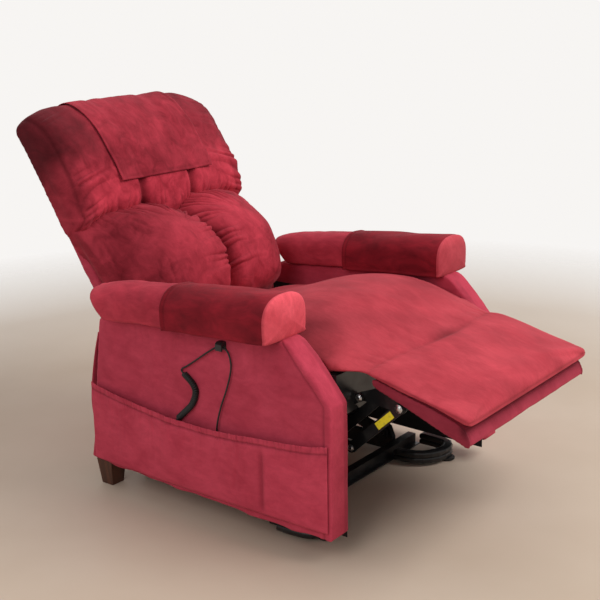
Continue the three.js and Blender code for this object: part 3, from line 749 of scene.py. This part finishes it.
def add_head_pillow():
    rings = []
    for x in BACK_HALF * np.sin(np.linspace(-math.pi / 2, math.pi / 2, 90)):
        edge = BACK_HALF - abs(x)
        depth = 0.9 + 0.1 * (1 - abs(x / BACK_HALF) ** 3)
        rounding = rounded(edge, 40)
        v, u = wrapped(HEAD, HEAD_SIDE, x, 120)
        v = 12 + (v - 12) * depth * (0.52 + 0.48 * rounding)
        u = 520 + (u - 520) * (0.93 + 0.07 * rounding)
        lower = 5 * (x / BACK_HALF) ** 2 + 12 * (x / BACK_HALF) ** 8 - 10 * bell(x - 225, 70)
        u -= lower * step(520, 700, u)
        u -= 34 * bell(x, 70) * (1 - step(338, 372, u))
        rings.append(back_points(x, v, u))
    pillow = remesh(loft("head_pillow_cover", rings, VELVET_DEEP), 5)

    def held(points):
        x, v, u = back_coordinates(points)
        seams = bell(np.abs(x) - HEAD_SEAM, 5) * step(40, 60, -v)
        rear = step(-34, -16, v) * (1 - step(600, 660, u))
        return np.maximum(rear, np.maximum(seams, 1 - step(334, 346, u)))

    def detail(points):
        x, v, u = back_coordinates(points)
        side = np.abs(x)
        front = step(10, 44, -v) + step(640, 690, u) * step(-10, 20, v)
        front = np.clip(front, 0, 1)
        low = 1 - step(360, 560, u)
        seam = bell(side - HEAD_SEAM, 12) * (0.5 + 0.5 * low) * front
        gusset = bell(side - BACK_HALF + 14, 4.5) * step(330, 380, u) * front
        folds, valleys = gathers(u + 0.30 * side, BACK_HALF - 14 - side, 27, 100, 4)
        inside = step(8, 22, BACK_HALF - 8 - side)
        strength = inside * front * (0.22 + 0.78 * (1 - step(400, 560, u)))
        hem, hem_valleys = gathers(x, u - 338, 27, 32, 9)
        hem_strength = front * (1 - step(390, 420, u)) * step(10, 60, np.abs(side - HEAD_SEAM) + 10)
        height = -19 * seam - 3.5 * gusset + 10 * folds * strength + 5 * hem * hem_strength
        long_folds = unevenness(points @ np.diag([1.0, 0.4, 0.4]), 75, 31)
        height += front * (1.8 * unevenness(points, 150, 32) + 1.1 * long_folds)
        crease_shade = 0.8 * seam + 0.55 * gusset + 0.65 * valleys * strength + 0.5 * hem_valleys * hem_strength
        return height, crease_shade

    inflate(pillow, held, 16)
    sculpt(subdivide(pillow), detail)
    # Painted light and shade: the lower, bulging part is lighter as painted light, and the upper sides, the near
    # side most, and the rim are darker as painted shade.
    x, v, u = back_coordinates(read(pillow))
    side = step(150, 230, np.abs(x)) * (1.3 - np.sign(x) * 0.5)
    low = (1 - step(380, 500, u)) * (1 - 0.8 * step(260, 330, np.abs(x)))
    rim = step(BACK_HALF - 75, BACK_HALF - 8, np.abs(x))
    mark(pillow, "nap_and_painted_light", 0.75 * low - 0.42 * step(440, 560, u) * side - 0.35 * rim)
    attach(pillow, "backrest")
    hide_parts("head_pillow")
    return pillow


def lobe_frame(x, u):
    """Distance along and away from a lobe's gathered inner seam, which turns the upper corner in an arc."""
    side = np.abs(x) - LOBE["inner"]
    corner = LOBE["corner"]
    across, up = corner - side, u - (LOBE["top"] - corner)
    reach = np.hypot(across, up)
    turning = (across > 0) & (up > 0)
    over = up > 0
    angle = np.arctan2(np.maximum(up, 0), np.maximum(across, 1e-6))
    along = np.where(turning, LOBE["top"] - corner + corner * angle, np.where(
        over, LOBE["top"] - corner + corner * math.pi / 2 - across, u))
    away = np.where(turning, corner - reach, np.where(over, LOBE["top"] - u, side))
    return along, away


def add_lobe(name, sign):
    rings = []
    width = LOBE["outer"] - LOBE["inner"]
    for share in (1 - np.cos(np.linspace(0, math.pi, 70))) / 2:
        x = LOBE["inner"] + share * width
        inner, outer = share * width, (1 - share) * width
        bulge = (rounded(inner, 36, 2.6) * 0.5 + 0.5) * (rounded(outer, 210) * 0.64 + 0.36)
        corner = LOBE["corner"]
        drop = corner - math.sqrt(max(corner ** 2 - max(corner - inner, 0) ** 2, 0))
        v, u = wrapped(LUMBAR, LUMBAR_SIDE, x, 110)
        tall = (LOBE["top"] - 0.85 * drop - LOBE["bottom"]) / (LOBE["top"] - LOBE["bottom"])
        u = LOBE["bottom"] + (u - LOBE["bottom"]) * tall
        v = np.where(v < 0, v * bulge, v)
        between_arms = 1 - 0.11 * share * (1 - step(200, 310, u))
        rings.append(back_points(sign * x * between_arms, v, u))
    lobe = remesh(loft(name, rings, VELVET_DEEP), 5)

    def held(points):
        x, v, u = back_coordinates(points)
        _, away = lobe_frame(x, u)
        return np.maximum(step(-40, -20, v), (1 - step(2, 12, away)) * 0.9)

    def detail(points):
        x, v, u = back_coordinates(points)
        front = step(20, 60, -v)
        along, away = lobe_frame(x, u)
        folds, valleys = gathers(along, away, 25, 58, 2 if sign > 0 else 6)
        strength = front * step(30, 110, along) * (1 - 0.7 * step(150, 260, np.abs(x)))
        low, low_valleys = gathers(x, u - 110, 26, 42, 8)
        low_strength = front * step(190, 250, np.abs(x)) * (1 - step(150, 210, u))
        height = 10.5 * folds * strength + 6 * low * low_strength
        height += front * (1.8 * unevenness(points, 170, 41) + 0.8 * unevenness(points, 60, 42))
        return height, 0.75 * valleys * strength + 0.5 * low_valleys * low_strength

    inflate(lobe, held, 22)
    sculpt(subdivide(lobe), detail)
    # Painted light and shade: each lobe's outer part is darker, the near lobe's most, and the far lobe is lighter
    # than the near one.
    x, v, u = back_coordinates(read(lobe))
    mark(lobe, "nap_and_painted_light", 0.22 - 0.4 * step(110, 260, np.abs(x)) * (1 - 0.5 * (sign > 0)) + 0.1 * sign)
    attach(lobe, "backrest")
    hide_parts(name.replace("_cover", ""))
    top, foot = back_points(0, 0, LOBE["top"]), back_points(0, 0, LOBE["bottom"])
    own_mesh(lobe)


def add_back_cover():
    """The cover of the back's rear and sides, drawn over its frame."""
    outline = [(4, 44), (34, 46), (39, 60), (38, 350), (38, 610), (30, 654), (14, 660), (4, 640), (2, 560),
               (2, 300)]
    rings = []
    for x in BACK_HALF * np.sin(np.linspace(-math.pi / 2, math.pi / 2, 60)):
        edge = BACK_HALF - abs(x)
        rounding = rounded(edge, 14)
        v, u = curve(outline, 110, True).T
        v = 20 + (v - 20) * (0.72 + 0.28 * rounding)
        u = 350 + (u - 350) * (0.975 + 0.025 * rounding)
        rings.append(back_points(x * 0.93, v, u))
    cover = remesh(loft("back_outer_cover", rings, VELVET_PANEL), 6, 3)

    def detail(points):
        x, v, u = back_coordinates(points)
        rear = step(20, 34, v)
        flap = (bell(np.abs(x) - BACK_HALF + 30, 3.2) + bell(u - 632, 3.2)) * rear
        pulls, valleys = gathers(u, BACK_HALF - np.abs(x), 55, 60, 7)
        hang = unevenness(points @ np.diag([1.0, 0.5, 0.5]), 130, 51)
        height = -1.8 * flap + 1.6 * pulls * rear
        height += 1.5 * hang + 0.5 * unevenness(points, 45, 52)
        return height, 0.55 * flap + 0.15 * valleys * rear

    sculpt(subdivide(cover), detail)
    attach(cover, "backrest")
    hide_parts("back_rear_panel")


def drape(grid, target, lift, reach=60):
    """Moves each point of a grid to the nearest place on the target's surface, and lifts it off."""
    graph = bpy.context.evaluated_depsgraph_get()
    tree = BVHTree.FromObject(target, graph)
    laid = []
    for point in grid.reshape(-1, 3):
        spot, normal, _, _ = tree.find_nearest(Vector(point), reach * MM)
        laid.append(np.array(spot + normal * lift * MM) if spot else point)
    return np.array(laid).reshape(grid.shape)


def relax(grid, rounds, share=0.5):
    """Evens out a grid of points, keeping its edges, as cloth evens out over hollows."""
    for _ in range(rounds):
        middle = (grid[:-2, 1:-1] + grid[2:, 1:-1] + grid[1:-1, :-2] + grid[1:-1, 2:]) / 4
        grid[1:-1, 1:-1] += share * (middle - grid[1:-1, 1:-1])
        for edge in (grid[0], grid[-1], grid[:, 0], grid[:, -1]):
            edge[1:-1] += share * ((edge[:-2] + edge[2:]) / 2 - edge[1:-1])
    return grid


def add_head_cover(pillow):
    """A loose cloth over the pillow, hanging from its front face over the top to the rear."""
    half = 185
    line = curve([(-128, 406), (-130, 470), (-130, 540), (-118, 610), (-92, 668), (-52, 708), (-4, 719),
                  (38, 700), (50, 650), (48, 596)], 120)
    xs = np.linspace(-half, half, 84)
    grid = np.array([back_points(xs, v, u) for v, u in line])
    grid = relax(drape(grid, pillow, 4.5), 14)
    points = grid.reshape(-1, 3)
    x, v, u = back_coordinates(points)
    along = np.repeat(np.linspace(0, run_of(line), len(line)), len(xs))
    hem = bell(np.minimum(half - np.abs(x), along) - 11, 2.4)
    corner = step(110, 185, np.abs(x)) * (1 - step(0, 60, along))
    lift = 1.0 * unevenness(points, 120, 61) + 0.5 * unevenness(points, 40, 62) - 1.1 * hem
    lift += 5 * corner * corner + 2.2
    normal = unit(np.cross(np.gradient(grid, axis=1), np.gradient(grid, axis=0)).reshape(-1, 3))
    outwards = np.sign(np.einsum("ij,ij->i", normal, points - back_points(x, -40, 520)))
    points = points + normal * (outwards * lift)[:, None] * MM
    cover = cloth_grid("head_cover_cloth", points.reshape(grid.shape), VELVET_DEEP, 1.6)
    mark(cover, "crease_shade", 0.5 * hem)
    face_away_from(cover, back_points(0, -40, 520))
    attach(cover, "backrest")
    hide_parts("head_cover")
    round(run_of(line) * MM, 3)


def face_away_from(sheet, centre):
    """Turns an open sheet's faces away from a point."""
    polygon = sheet.data.polygons[len(sheet.data.polygons) // 2]
    if polygon.normal.dot(polygon.center - Vector(centre)) < 0:
        sheet.data.flip_normals()


def add_rear_skirt():
    """A loose length of cloth that closes the rear between the side panels, from the back down."""
    line = curve([(396, 410), (416, 345), (434, 268), (442, 200), (434, 148), (408, 118), (376, 110)], 70)
    half = 328
    xs = np.linspace(-half, half, 90)
    grid = np.array([chair_points(xs, y, z) for y, z in line])
    points = grid.reshape(-1, 3)
    x, y, z = chair_coordinates(points)
    folds, valleys = gathers(x, z - 400, 60, 120, 3)
    drop = 2.5 * folds + 3 * unevenness(points @ np.diag([1, 0.2, 0.2]), 110, 71) - 3 * (x / half) ** 8
    points = points + np.array([0, 1, 0]) * (drop * MM)[:, None]
    skirt = cloth_grid("rear_skirt_cloth", points.reshape(grid.shape), VELVET_PANEL, 2.5)
    mark(skirt, "crease_shade", 0.2 * valleys)
    face_away_from(skirt, chair_points(0, 300, 250))
    chair_points(0, 400, 250)
    chair_points(0, 400, 410)
    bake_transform(skirt)
    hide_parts("rear_skirt")
    round(run_of(line) * MM, 3)


# ---------------------------------------------------------------- arms
def roll_ring(y, grow, count=72):
    """The roll's section at y: a mushroom that sinks towards the rear, where its end leans with the back.
    Returns x from the middle of the roll, y and z."""
    along = max(y - ROLL["front"], 0) / (ROLL["rear"] - ROLL["front"])
    half = (ROLL["outer"] - ROLL["inner"]) / 2 - 5 + grow - 7 * along
    top, bottom, shoulder = ROLL["top"] - 5 + grow, ROLL["bottom"] - 0.6 * grow, ROLL["shoulder"]
    points = [(-half + 14, bottom), (half - 14, bottom), (half - 2, bottom + 11)]
    for angle in np.linspace(0, math.pi, 13):
        across, up = math.cos(angle), math.sin(angle) ** 0.82
        across = math.copysign(abs(across) ** 0.82, across)
        points.append((half * across, shoulder + (top - shoulder) * up))
    points.append((-half + 2, bottom + 11))
    x, z = curve(points, count, True).T
    lean = 0.7 * along ** 6 * (ROLL["top"] - z)
    squeezed = (z - ROLL["bottom"]) * (1 - 0.08 * along - 0.16 * along ** 8)
    return x, y - lean, ROLL["bottom"] - ROLL["sink"] * along + squeezed


def add_roll(name, sign):
    middle = sign * (ROLL["inner"] + ROLL["outer"]) / 2
    rings = []
    for y in np.linspace(ROLL["front"] + 9, ROLL["rear"], 60):
        end = min(y - ROLL["front"] - 9, (ROLL["rear"] - y) * 0.8)
        shrink = 0.9 + 0.1 * rounded(end, 16)
        x, leaned, z = roll_ring(y, -1.5)
        centre = z.min() + (z.max() - z.min()) * 0.45
        rings.append(chair_points(middle + sign * x * shrink, leaned, centre + (z - centre) * shrink))
    roll = remesh(loft("arm_roll_cover_" + name, rings, VELVET_ROLL), 5)

    def detail(points):
        x, y, z = chair_coordinates(points)
        rear, valleys = gathers(z + 0.4 * x, ROLL["rear"] - y, 21, 40, 3)
        top = step(520, 550, z)
        height = 2.5 * rear * top + 1.6 * unevenness(points, 120, 81) + 0.7 * unevenness(points, 45, 82)
        return height, 0.4 * valleys * top

    sculpt(subdivide(roll), detail)
    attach(roll, "chair")
    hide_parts("arm_roll_" + name)


CAP = {"depth": 17, "rings": 16, "flat": 0.55, "centre": 578}    # the front panel of the arm cover
SLEEVE_RINGS = 84


def add_arm_cover(name, sign):
    """A fitted sleeve of darker velvet over the front of the roll, closed by a D-shaped front panel in a brighter,
    lit copy of the velvet, as painted light.
    """
    middle = sign * (ROLL["inner"] + ROLL["outer"]) / 2
    shares = np.sin(np.linspace(0.04, math.pi / 2, CAP["rings"]))
    places = list(ROLL["front"] + CAP["depth"] * (1 - np.sqrt(1 - shares ** 2) ** 0.8))
    shares = [*(CAP["flat"] * shares + (1 - CAP["flat"]) * shares ** 4), *np.ones(SLEEVE_RINGS)]
    places += list(np.linspace(places[-1] + 3, ROLL["cover_end"], SLEEVE_RINGS))
    rings = []
    for y, share in zip(places, shares):
        x, leaned, z = roll_ring(y, 4.6, 120)
        z = CAP["centre"] + (z - CAP["centre"]) * share
        rings.append(chair_points(middle + sign * x * share, leaned, z))
    rings = np.array(rings)
    rows, columns = rings.shape[:2]
    points = rings.reshape(-1, 3)
    x, y, z = chair_coordinates(points)
    seam_y = ROLL["front"] + CAP["depth"]
    hem = bell(y - ROLL["cover_end"] + 12, 2.2) + bell(y - seam_y - 1, 2.4)
    sleeve = step(seam_y, seam_y + 24, y)
    wrinkles = unevenness(points @ np.diag([1.0, 0.35, 1.0]), 60, 91)
    lift = sleeve * (1.2 * wrinkles + 1.2 * unevenness(points, 130, 92)) - 1.0 * hem
    lift += 1.6 * bell(y - ROLL["cover_end"], 5)
    sunk = ROLL["sink"] * (y - ROLL["front"]) / (ROLL["rear"] - ROLL["front"])
    away = unit(points - chair_points(middle, y, CAP["centre"] - sunk))
    points = points + away * (lift * MM)[:, None]
    faces = strip_faces(rows, columns, True)
    faces.append(tuple(range(columns))[::-1])
    cover = new_piece("arm_sleeve_" + name, points, faces, VELVET_COVER)
    cover.data.materials.append(VELVET_CAP_LIT)
    for polygon in cover.data.polygons:
        on_panel = polygon.index < CAP["rings"] * columns or polygon.index >= (rows - 1) * columns
        polygon.material_index = int(on_panel)
    mark(cover, "crease_shade", 0.45 * hem)
    x, y, z = chair_coordinates(points)
    on_cap = 1 - step(-6, 6, y - seam_y)
    # Painted light and shade: a painted highlight along the top of the sleeve, and the front panels darker, the
    # far one most, as painted shade.
    mark(cover, "nap_and_painted_light", 0.04 + 0.25 * step(600, 632, z) - (0.22 + 0.28 * sign) * on_cap)
    if sign > 0:
        cover.data.flip_normals()
    thicken(cover, 1.8)
    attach(cover, "chair")
    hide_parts("arm_cover_" + name)


def panel_front(z):
    """The place of the panel's front edge: upright, and leaning to the rear above its bend."""
    return PANEL["front"] + PANEL["lean"] * np.maximum(z - PANEL["bend"], 0)


PANEL_OUTLINE = [(-454, 60), (-452, 62), (-300, 62), (-100, 66), (150, 71), (360, 75), (366, 77), (362, 100),
                 (332, 279), (304, 470), (301, 484), (290, 490), (140, 503), (-60, 515), (-200, 523),
                 (-318, 530), (-332, 524), (-370, 489), (-412, 442), (-444, 404), (-453, 390), (-454, 230)]


def add_panel(name, sign):
    """An upholstered side: a flat board with a thin pad, turned round its front edge as one band."""
    outline = []
    for (y0, z0), (y1, z1) in zip(PANEL_OUTLINE, PANEL_OUTLINE[1:] + PANEL_OUTLINE[:1]):
        count = max(2, int(math.hypot(y1 - y0, z1 - z0) / 12))
        for i in range(count):
            outline.append((y0 + (y1 - y0) * i / count, z0 + (z1 - z0) * i / count))
    outline = np.array(outline)
    rings = []
    inner, outer = PANEL["inner"], PANEL["outer"]
    edges = [(inner, 6), (inner + 1.5, 2.5), (inner + 6, 0), (outer - 8, 0), (outer - 2, 3), (outer, 9)]
    for x, inset in edges:
        ring = outline + inwards(outline) * inset
        rings.append(chair_points(sign * x, ring[:, 0], ring[:, 1]))
    panel = remesh(loft("side_panel_cover_" + name, rings, VELVET_PANEL), 6, 3)

    def detail(points):
        x, y, z = chair_coordinates(points)
        outside = step(PANEL["outer"] - 12, PANEL["outer"] - 2, np.abs(x))
        inside = y - panel_front(z)
        seam = bell(inside - 21, 3.5) * outside
        drape_folds = unevenness(points @ np.diag([1, 1, 0.16]), 85, 101)
        top, valleys = gathers(y, z - 515, 36, 70, 6)
        height = outside * (1.9 * drape_folds + 1.3 * top * step(300, 420, z)) - 2.2 * seam
        height += 0.8 * unevenness(points, 140, 102) + 0.4 * unevenness(points, 50, 103)
        height += 3.0 * outside * step(20, 120, inside) * step(20, 100, 360 - y)
        return height, 0.55 * seam + 0.2 * valleys * outside * step(380, 480, z)

    sculpt(subdivide(panel), detail)
    # Painted light and shade: the front face is lighter as painted light, and its inner strip darker as painted
    # shade.
    x, y, z = chair_coordinates(read(panel))
    front_face = 1 - step(3, 8, y - panel_front(z))
    mark(panel, "nap_and_painted_light", 0.05 + 0.15 * front_face - 0.35 * front_face * (1 - step(354, 360, np.abs(x))))
    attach(panel, "chair")
    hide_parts("arm_panel_" + name)


def add_panel_lining(name, sign):
    """Black cloth tacked to the inside of the side panel, below the seat. Its black also stands in for the shade
    inside the chair, as painted shade.
    """
    outline = np.array([(-446, 44), (356, 58), (322, 279), (306, 430), (-400, 430), (-446, 384)])
    x = sign * (PANEL["inner"] - 1.2)
    y, z = outline.T
    points = [*chair_points(x, y, z), *chair_points(x + sign, y, z)]
    count = len(outline)
    faces = [tuple(range(count)), tuple(range(count, 2 * count))[::-1]]
    faces += [(i, i + count, (i + 1) % count + count, (i + 1) % count) for i in range(count)]
    cloth = outward(new_piece("panel_lining_" + name, points, faces, LINING))
    cloth.data.shade_flat()
    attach(cloth, "chair")


# ---------------------------------------------------------------- side pocket
POCKET = {"front": -447, "rear": 337, "bottom": 84}
POCKET_TOP = profile([(-447, 301), (-377, 291), (-256, 283), (-111, 273), (22, 275), (115, 280), (226, 290),
                      (337, 303)])


def add_pocket():
    """A cloth pocket sewn to the near side panel, its top edge gathered on elastic."""
    columns, rows = 330, 60
    ys = np.linspace(POCKET["front"], POCKET["rear"], columns)
    heights = np.concatenate([np.linspace(0, 0.9, rows - 16), np.linspace(0.905, 1, 16)])
    y, h = np.meshgrid(ys, heights)
    top = POCKET_TOP(y)
    z = POCKET["bottom"] + (top - POCKET["bottom"]) * h
    ends = np.sin(math.pi * (y - POCKET["front"]) / (POCKET["rear"] - POCKET["front"])).clip(0) ** 0.55
    belly = 0.3 + 0.7 * (h.clip(0, 1) ** 0.5)
    above = z - POCKET["bottom"]
    swell = 2.5 + 21 * ends * belly + 7 * bell(y - 25, 62) * bell(z - 168, 88) * step(0, 20, above)
    turns, valleys = gathers(y, top - z, 13, 34, 5)
    long_turns, _ = gathers(y + 6 * np.sin(z / 30), top - z, 38, 150, 8)
    hem = bell(top - z - 17, 3)
    pleat = bell(y + 256 + 0.04 * above, 7) * step(0, 26, above) * (1 - step(225, 275, z))
    ruffle = step(20, 6, top - z)
    swell += ends * (3.0 * turns + 2.5 * long_turns + 2.5 * ruffle * turns) - 3.0 * hem * ends - 5 * pleat
    points = chair_points(-(PANEL["outer"] + 3.2 + swell), y, z)
    points[..., 2] += (1.6 * turns * ruffle * MM)
    pocket = cloth_grid("side_pocket_cloth", points, VELVET_PANEL, 1.6)
    mark(pocket, "crease_shade", 0.75 * hem + 0.55 * valleys * bell(top - z, 30) + 0.6 * pleat)
    # Drawn brighter than the panel's velvet, a little more in front of the pleat.
    mark(pocket, "nap_and_painted_light", 0.2 + 0.08 * step(-256, -262, y))
    face_away_from(pocket, chair_points(0, 0, 180))
    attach(pocket, "chair")
    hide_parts("side_pocket")


# ---------------------------------------------------------------- metal, plastic and wood
def finish_nodes():
    """Gives the CAD nodes that stay their materials and slightly broken edges."""
    materials = {"black_steel": BLACK_STEEL, "zinc_steel": ZINC, "black_plastic": BLACK_PLASTIC,
                 "grey_plastic": GREY_PLASTIC, "black_rubber": RUBBER, "brown_wood": BROWN_WOOD,
                 "pale_wood": PALE_WOOD, "yellow_label": LABEL}
    for row in frame["record"]["subparts"]:
        if row["material_slot"] not in materials:
            continue
        node = frame["nodes"][row["node"]]
        node.data.materials.clear()
        node.data.materials.append(materials[row["material_slot"]])
        node.data.shade_smooth()
        edges = node.modifiers.new("edges", "BEVEL")
        edges.width = 0.0008
        edges.segments = 2
        edges.limit_method = "ANGLE"
        edges.angle_limit = math.radians(35)
        edges.harden_normals = True


def add_bolt(name, body, x, place, radius, sign):
    """A domed rivet head on a washer, on the outer face of a link."""
    head = [(0.35, 3.3), (0.7, 2.6), (0.95, 1.4), (1.0, 1.0)]
    washer = [(1.45, 0.95), (1.5, 0.7), (1.5, 0.0)]
    rings = []
    for share, height in head + washer:
        angle = np.linspace(0, 2 * math.pi, 20, endpoint=False)
        y = place[0] + radius * share * np.cos(angle)
        z = place[1] + radius * share * np.sin(angle)
        rings.append(chair_points(sign * (x + height), y, z))
    bolt = loft(name, rings, ZINC)
    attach(bolt, body)


def add_bolts():
    """Rivets at the pivots of the footrest's links, of its rockers and of its fold."""
    fold = (FOLD_Y, FOLD_Z)
    front, rear = (-540, 366), (-476, 373)
    reach = (-137, 130)
    for name, sign in SIDES.items():
        lower = [(place[0] - reach[0], place[1] - reach[1]) for place in (front, rear, fold)]
        add_bolt(f"rivet_front_upper_{name}", f"front_link_{name}", 260, front, 7, sign)
        add_bolt(f"rivet_front_lower_{name}", f"front_link_{name}", 256.5, lower[0], 6, sign)
        add_bolt(f"rivet_rear_lower_{name}", f"rear_link_{name}", 251, lower[1], 5, sign)
        add_bolt(f"rivet_rocker_{name}", "chair", 252, lower[2], 6, sign)
        add_bolt(f"rivet_fold_{name}", "chair", 264, fold, 6, sign)


add_camera()
add_lead()
add_floor()
add_studio()
add_chaise()
add_footrest_board()
head = add_head_pillow()
for side_name, side_sign in SIDES.items():
    add_lobe(f"lumbar_lobe_cover_{side_name}", side_sign)
    add_roll(side_name, side_sign)
    add_arm_cover(side_name, side_sign)
    add_panel(side_name, side_sign)
    add_panel_lining(side_name, side_sign)
add_back_cover()
add_head_cover(head)
add_rear_skirt()
add_pocket()
finish_nodes()
add_bolts()
